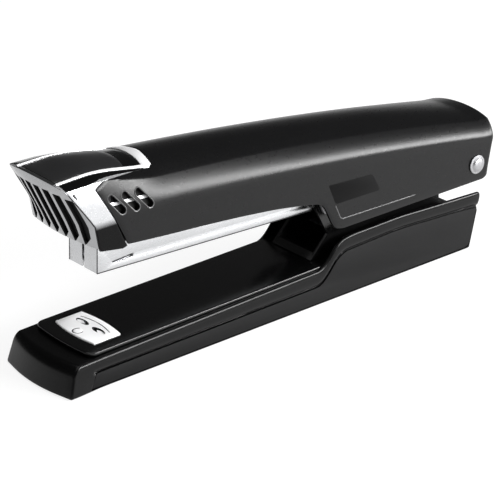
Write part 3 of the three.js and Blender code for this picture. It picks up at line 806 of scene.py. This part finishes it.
def nose_cap():
    parts = [cap_sheet(), grille_face(), grille_shade_sheet()]
    for hand in (-1, 1):
        inner = [(lerp(-20.6, 13.0, k / 12), hand * lerp(10.2, 9.5, k / 12), 1.0) for k in range(13)]
        parts.append(strip("strip", inner, 1.0, 0.34, TRIM))
    band = []
    for k in range(17):
        y = lerp(-10.6, 10.6, k / 16)
        front = 13.4 - 0.9 * (y / 9.4) ** 2
        rear = along([(0, 18.0), (9.4, 16.2), (10.6, 14.4)], abs(y))
        ring = []
        for j in range(9):
            t = j / 8
            x = lerp(front, rear, t)
            ring.append((x, y, crown_z(x, y) + 0.34 * math.sin(math.pi * t) ** 0.5 - 0.02))
        ring.append((rear, y, crown_z(rear, y) - 0.4))
        ring.append((front, y, crown_z(front, y) - 0.4))
        band.append(ring)
    cross = outward(grid("band", band, closed=True, caps=True))
    painted(cross, TRIM)
    parts.append(soften(cross, 60))
    return place(joined("cap", parts), "nose_cap")


def cap_inlay():
    border = plate("inlay", lambda x: -9.5, lambda x: 9.5, top_front, lambda v: 13.3, -0.14, 0.3, INLAY)
    face = plate("inlay_top", lambda x: -8.9, lambda x: 8.9, lambda v: top_front(v) + 0.5,
                 lambda v: 7.2 - 1.4 * abs(2 * v - 1) ** 2, -0.08, 0.2, INLAY_FACE)
    return place(joined("inlay", [border, face]), "cap_inlay")


def cap_band(hand, node):
    def outer(x):
        return hand * along([(-21, 14.9), (-10, 14.6), (-6, 13.2), (11, 10.9)], x)

    obj = plate(node, lambda x: hand * along([(-21, 11.3), (11, 10.5)], x), outer,
                lambda v: face_x(12, 69.5) + 1.0, lambda v: 11.0, 0.14, 0.35, INLAY)
    return place(obj, node)


# ---- base ----
CREASE = [(-26, 10.6), (82, 12.9), (85.2, 15.1), (88.3, 19), (91.5, 21.6), (96, 22.3), (119, 22.7),
          (160, 20.6)]
PANEL_TOP = [(-26, 6.1), (81.4, 7.2), (83.9, 8.7), (86.6, 11.7), (89.3, 15), (93.1, 17), (118.3, 18),
             (160, 15.8)]
NOSE_X = -25.8
DECK_FRONT = -14.6
DECK_HALF = 15.1


def deck_z(x):
    return 12.6 + 0.0145 * x


def base_half(x):
    return along([(-20, 17.05), (84, 16.8)], x)


def base_ring(x, inset=0.0, drop=0.0):
    """One section of the base, all the way round; drop lowers its top."""
    half = base_half(x) - inset
    crease = eased(CREASE, x, 1.4) - max(inset, drop)
    panel = min(eased(PANEL_TOP, x, 1.4) - inset, crease - 1.5)
    foot = 0.5 + 0.4 * inset
    belly = lerp(panel, crease, 0.5)
    groove = 0.9 * smooth(x, -15.5, -13)
    side = [(4.0, foot), (8.0, foot), (12.0, foot), (half - 0.4, foot), (half, foot + 0.4)]
    side += [(half, lerp(foot, panel, share)) for share in (0.33, 0.66, 0.9)]
    for k in range(7):
        turn = math.pi / 2 * k / 6
        side.append((half - groove * (1 - math.sin(turn)), lerp(panel, belly, 1 - math.cos(turn) * 0.9)))
    for k in range(1, 11):
        turn = math.pi / 2 * k / 10
        side.append((lerp(16 - inset, half, math.cos(turn)), lerp(belly, crease, math.sin(turn))))
    side += [(12.0, crease), (8.0, crease), (4.0, crease)]
    return [(0, foot)] + side + [(0, crease)] + [(-y, z) for y, z in reversed(side)]


def base_shell():
    rows = []
    corner = 0.8
    fillet = 3.2
    for k in range(13):
        angle = math.pi / 2 * k / 12
        ahead = fillet * (1 - math.cos(angle))
        inset = corner - math.sqrt(corner ** 2 - max(corner - ahead, 0.0) ** 2)
        ring = base_ring(NOSE_X + 4, inset, fillet * (1 - math.sin(angle)))
        rows.append([(NOSE_X + ahead, y, z) for y, z in ring])
    stations = [*np.arange(-22, -14, 0.5), *np.arange(-14, 76, 2), *np.arange(77, 99, 0.75),
                *np.arange(100, 151, 4), 153]
    for x in stations:
        rows.append([(x, y, z) for y, z in base_ring(x)])
    end = 1.0
    for k in range(1, 5):
        angle = math.pi / 2 * k / 4
        ring = base_ring(155, end * (1 - math.cos(angle)))
        rows.append([(153 + end * math.sin(angle), y, z) for y, z in ring])
    obj = outward(grid("base", rows, closed=True, caps=True))
    sliced(obj, "z", np.arange(1.5, 22, 1.5))
    sliced(obj, "y", np.arange(-14, 15, 2))
    for vertex in obj.data.vertices:
        x, y, z = vertex.co / MM
        x -= SHIFT
        front = max(0.0, min(1.0, (-11 - x) / 14.8))
        rear = max(0.0, min(1.0, (x - 130) / 24))
        vertex.co.x += (front * (0.0085 * y * y + 0.3 * z) + rear * 0.235 * z) * MM
        flare = smooth(-x, 8, 24) * (1 - smooth(z, 0, 9))
        vertex.co.y += math.copysign(0.8 * flare * smooth(abs(y), 13, 16.5), y) * MM
    tools = [prism("trough", deck_outline(DECK_FRONT - GAP, 170, DECK_HALF + GAP, 3.4), -1.9, 14,
                   lambda a, b, c: (a, b, deck_z(a) + c))]
    for hand in (-1, 1):
        tools.append(prism("pocket", panel_outline(0.3), 0.0, 4.0, lambda a, b, c: (a, hand * (16.1 + c), b)))
    cut(obj, tools)
    bevelled(obj, 0.2, 2, 50)
    painted(obj, BASE)
    return place(soften(obj, 32), "base_shell")


def panel_outline(grow):
    """The side panel's outline in (x, z); grow widens it into the pocket that it lies in."""
    stations = [-12.6 - grow, *np.arange(-6, 78, 12), *np.arange(79, 97, 1), *np.arange(100, 153, 8)]
    top = [(x, eased(PANEL_TOP, x, 1.4) - 0.15 + grow) for x in stations]
    end = [(156.7 + grow, 15.5 + grow), (154.0 + grow, 3.4), (153.2 + grow, 1.8), (151.6 + grow, 1.2 - grow)]
    return top + end + [(-14.9 - grow, 1.2 - grow)]


def side_panel(hand, node):
    obj = prism(node, panel_outline(0), 16.2, 16.75, lambda a, b, c: (a, hand * (base_half(a) - 16.8 + c), b))
    bevelled(obj, 0.25, 2, 50)
    return place(soften(obj), node, PANEL)


def deck_outline(front, rear, half, corner):
    points = [(rear, -half), (rear, half)]
    for hand in (1, -1):
        arc = []
        for k in range(9):
            a = math.pi / 2 * k / 8
            arc.append((front + 0.7 + corner * (1 - math.sin(a)), hand * (half - corner * (1 - math.cos(a)))))
        points += arc if hand > 0 else list(reversed(arc))
        if hand > 0:
            points += [(front + 0.7 * (y / (half - corner)) ** 2, y) for y in (8, 4, 0, -4, -8)]
    return points


def deck_plate():
    outline = deck_outline(DECK_FRONT, 150, DECK_HALF, 3.2)
    obj = prism("deck", outline, -1.6, 0.0, lambda a, b, c: (a, b, deck_z(a) + c))
    bevelled(obj, 0.5, 4, 50)
    return place(soften(obj), "deck_plate", DECK)


def anvil_outline():
    points = []
    for k in range(13):
        y = lerp(-10.5, 10.5, k / 12)
        points.append((2.9 - 1.1 * (y / 10.5) ** 2, y))
    for k in range(13):
        y = lerp(10.5, -10.5, k / 12)
        points.append((-9.8 + 1.2 * (y / 10.5) ** 2, y))
    return points


POCKET_X = -2.3                         # the crimp pockets' middles, on either side
POCKET_Y = 4.3
RING_X = -7.3                           # the ring stamped in front of them


def anvil_plate():
    def lay(a, b, c):
        return a, b, deck_z(a) + c

    obj = prism("anvil", anvil_outline(), -0.5, 0.5, lay)
    bevelled(obj, 0.2, 2, 50)
    tools = []
    for hand in (-1, 1):
        pocket = []
        for k in range(28):
            a = 2 * math.pi * k / 28
            pocket.append((POCKET_X + 1.15 * math.cos(a), hand * POCKET_Y + 3.2 * math.sin(a)))
        tools.append(prism("pocket", pocket, 0.0, 2.0, lay))
    arc = [(0.9 - 0.02 * y * y, y) for y in np.linspace(-7.8, 7.8, 17)]
    arc += [(0.55 - 0.02 * y * y, y) for y in np.linspace(7.8, -7.8, 17)]
    tools.append(prism("line", arc, 0.3, 2.0, lay))
    turns = np.linspace(0.6, 5.2, 22)
    mark = [(RING_X + 1.95 * math.cos(a), 1.95 * math.sin(a)) for a in turns]
    mark += [(RING_X + 1.6 * math.cos(a), 1.6 * math.sin(a)) for a in reversed(turns)]
    tools.append(prism("mark", mark, 0.3, 2.0, lay))
    cut(obj, tools)
    painted(obj, ANVIL, PAINTED_SHADE_STEEL)
    # the walls and floors of the pockets, the line and the ring take the dark steel: painted shade in the
    # recesses
    for polygon in obj.data.polygons:
        middle = polygon.center / MM
        x = middle.x - SHIFT
        height = middle.z - deck_z(x)
        inside = -9.1 + 1.2 * (middle.y / 10.5) ** 2 < x < 1.6 and abs(middle.y) < 9
        if inside and -0.2 < height < 0.45:
            polygon.material_index = 1
    wedges = []
    for hand in (-1, 1):
        ramp = [(-3.1, 0.6), (-2.1, -1.2), (-1.5, 0.7), (-1.7, 2.1), (-2.3, 2.9), (-2.9, 2.1)]
        rows = [[lay(x, hand * (POCKET_Y + y), c) for x, y in ramp] for c in (0.05, 0.22)]
        wedge = outward(grid("ramp", rows, closed=True, caps=True))
        painted(wedge, ANVIL)
        wedges.append(wedge)
    return place(joined("anvil", [soften(obj)] + wedges), "anvil_plate")


def lathe(name, profile, x, z):
    """A turned piece about a crosswise axis; profile is (radius, y) pairs."""
    count = 40
    rows = []
    for radius, y in profile:
        rows.append([(x + radius * math.cos(2 * math.pi * k / count), y,
                      z + radius * math.sin(2 * math.pi * k / count)) for k in range(count)])
    return outward(grid(name, rows, closed=True, caps=True))


def hinge_pin():
    inner = 18.15                       # where the heads' inner faces lie
    head = [(0.3, 1.3), (1.2, 1.26), (1.9, 1.1), (2.35, 0.8), (2.5, 0.55), (2.65, 0.42), (3.1, 0.4),
            (3.4, 0.3), (3.5, 0.12), (3.5, 0.0), (2.0, 0.0)]
    profile = [(r, inner + rise) for r, rise in head] + [(r, -inner - rise) for r, rise in reversed(head)]
    return place(soften(lathe("pin", profile, PIN_X, PIN.z), 30), "hinge_pin", PLAIN)


def round_rivet(node, look, radius, height):
    """A short rivet head that stands where the node's own head is."""
    low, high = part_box(node)
    middle = (low + high) / 2 / MM
    rows = []
    top = high.z / MM
    for r, z in ((radius, low.z / MM), (radius, top - height), (radius * 0.94, top - height * 0.3),
                 (radius * 0.75, top), (radius * 0.4, top), (0.05, top)):
        turns = [2 * math.pi * k / 28 for k in range(28)]
        rows.append([(middle.x - SHIFT + r * math.cos(a), r * math.sin(a), z) for a in turns])
    return place(soften(outward(grid(node, rows, closed=True, caps=True)), 40), node, look)


def coil(node, look, wire, turns):
    """The pusher's spring, as a round wire along a helix on the guide rod."""
    low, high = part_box(node)
    direction = Vector((math.cos(PITCH), 0, -math.sin(PITCH)))
    start = Vector((low.x, 0, high.z)) / MM
    end = Vector((high.x, 0, low.z)) / MM
    radius = (high.y - low.y) / MM / 2 - wire
    start, end = start - Vector((0, 0, radius + wire)), end + Vector((0, 0, radius + wire))
    up = Vector((math.sin(PITCH), 0, math.cos(PITCH)))
    rows = []
    steps = 14 * turns
    for i in range(steps + 1):
        a = 2 * math.pi * turns * i / steps
        spoke = Vector((0, math.cos(a), 0)) + up * math.sin(a)
        centre = start.lerp(end, i / steps) + spoke * radius
        ring = []
        for k in range(8):
            b = 2 * math.pi * k / 8
            point = centre + wire * (math.cos(b) * spoke + math.sin(b) * direction)
            ring.append((point.x - SHIFT, point.y, point.z))
        rows.append(ring)
    return place(soften(outward(grid(node, rows, closed=True, caps=True)), 60), node, look)


def channel_point(x, y, z):
    """A point of the magazine, from the pin along the channel, at rest."""
    return (PIN_X + x * math.cos(PITCH) + z * math.sin(PITCH), y,
            PIN.z - x * math.sin(PITCH) + z * math.cos(PITCH))


def magazine_channel():
    """The channel, with dark strips along its foot and at its front corners: a painted dark reflection."""
    obj = refined("magazine_channel", 0.14, BRIGHT)
    edges = []
    for hand in (-1, 1):
        y = [hand * 7.16, hand * 7.53]
        foot = [(-158.53, -4.84), (-14, -4.84), (-14, -4.42), (-158.53, -4.42)]
        corner = [(-158.54, -4.84), (-158.3, -4.84), (-158.3, 5.0), (-158.54, 5.0)]
        for outline in (foot, corner):
            edge = prism("edge", outline, *y, lambda a, b, c: channel_point(a, c, b))
            bevelled(edge, 0.06, 2, 50)
            painted(edge, PAINTED_SHADE_STEEL)
            edges.append(soften(edge))
    joined("magazine_channel_fine", [obj] + edges)


# ---- build ----
SIDES = ((1, "left"), (-1, "right"))
cover_shell()
nose_cap()
cap_inlay()
for hand, side in SIDES:
    cap_band(hand, "cap_band_" + side)
base_shell()
for hand, side in SIDES:
    side_panel(hand, "side_panel_" + side)
deck_plate()
anvil_plate()
round_rivet("anvil_rivet", ANVIL, 1.55, 0.15)
hinge_pin()
refined("hinge_bracket", 0.3, ENAMEL, 3)
magazine_channel()
refined("base_sole", 0.4, SOLE)
refined("return_spring", 0.12, SPRING, flatten=(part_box("return_spring")[0].z, 0.42))
refined("cover_spring", 0.12, SPRING, flatten=(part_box("cover_spring")[1].z, 0.08))
refined("cover_frame", 0.2, PLAIN)
refined("staple_rail", 0.15, BRIGHT)
refined("anchor_block", 0.25, NYLON)
refined("guide_rod", 0.12, PLAIN)
refined("staple_pusher", 0.2, PLAIN)
refined("driver_blade", 0.05, PLAIN)
for hand, side in SIDES:
    slot_strip(hand, "slot_strip_" + side)
for rivet in ("bracket_rivet_front", "bracket_rivet_rear", "spring_rivet", "blade_rivet"):
    refined(rivet, 0.12, PLAIN)
spring = coil("pusher_spring", SPRING, 0.3, 20)
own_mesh(spring)


# ---- floor, light and camera ----
def floor():
    """A plain light table."""
    half = 12.0
    mesh = bpy.data.meshes.new("floor")
    corners = [(-half, -half, 0), (half, -half, 0), (half, half, 0), (-half, half, 0)]
    mesh.from_pydata(corners, [], [(0, 1, 2, 3)])
    obj = bpy.data.objects.new("floor", mesh)
    bpy.context.scene.collection.objects.link(obj)
    look = Look("floor", 0.7)
    look.colour((0.215, 0.215, 0.215), (0.225, 0.225, 0.225), look.noise(60.0))
    look.shader.inputs["Emission Color"].default_value = (1, 1, 1, 1)
    look.shader.inputs["Emission Strength"].default_value = 0.82
    obj.data.materials.append(look.material)


def softbox(name, direction, distance, size, radiance):
    """A soft rectangular light of an even brightness, white being 1."""
    light = bpy.data.lights.new(name, "AREA")
    light.shape = "RECTANGLE"
    light.size, light.size_y = size
    light.energy = radiance * math.pi * size[0] * size[1]
    obj = bpy.data.objects.new(name, light)
    bpy.context.scene.collection.objects.link(obj)
    obj.location = Vector((0, 0, 0.04)) + Vector(direction).normalized() * distance
    obj.rotation_euler = (-Vector(direction)).to_track_quat("-Z", "Y").to_euler()


def world():
    """A dark studio with a pale band low around it."""
    scene = bpy.context.scene
    scene.world = bpy.data.worlds.new("studio")
    scene.world.use_nodes = True
    tree = scene.world.node_tree
    split = tree.nodes.new("ShaderNodeSeparateXYZ")
    tree.links.new(tree.nodes.new("ShaderNodeTexCoord").outputs["Generated"], split.inputs["Vector"])
    fade = tree.nodes.new("ShaderNodeMapRange")
    fade.interpolation_type = "SMOOTHSTEP"
    fade.inputs["From Min"].default_value = 0.01
    fade.inputs["From Max"].default_value = 0.07
    fade.inputs["To Min"].default_value = 0.8
    fade.inputs["To Max"].default_value = 0.06
    tree.links.new(split.outputs["Z"], fade.inputs["Value"])
    tree.links.new(fade.outputs["Result"], tree.nodes["Background"].inputs["Strength"])
    tree.nodes["Background"].inputs["Color"].default_value = (1, 1, 1, 1)


def camera():
    lens = bpy.data.cameras.new("camera")
    lens.sensor_width = 36
    lens.lens = 153.48
    lens.clip_end = 20
    obj = bpy.data.objects.new("camera", lens)
    bpy.context.scene.collection.objects.link(obj)
    obj.location = at(-357.64, -498.90, 318.05)
    obj.rotation_euler = Vector((0.58778, 0.69456, -0.41485)).to_track_quat("-Z", "Y").to_euler()
    bpy.context.scene.camera = obj


floor()
world()
softbox("fill", (-0.15, -0.2, 0.97), 1.1, (1.4, 1.4), 1.8)
softbox("flank", (0.588, -0.745, 0.33), 0.9, (1.1, 0.17), 36.0)
camera()
bpy.context.scene.view_settings.view_transform = "Standard"
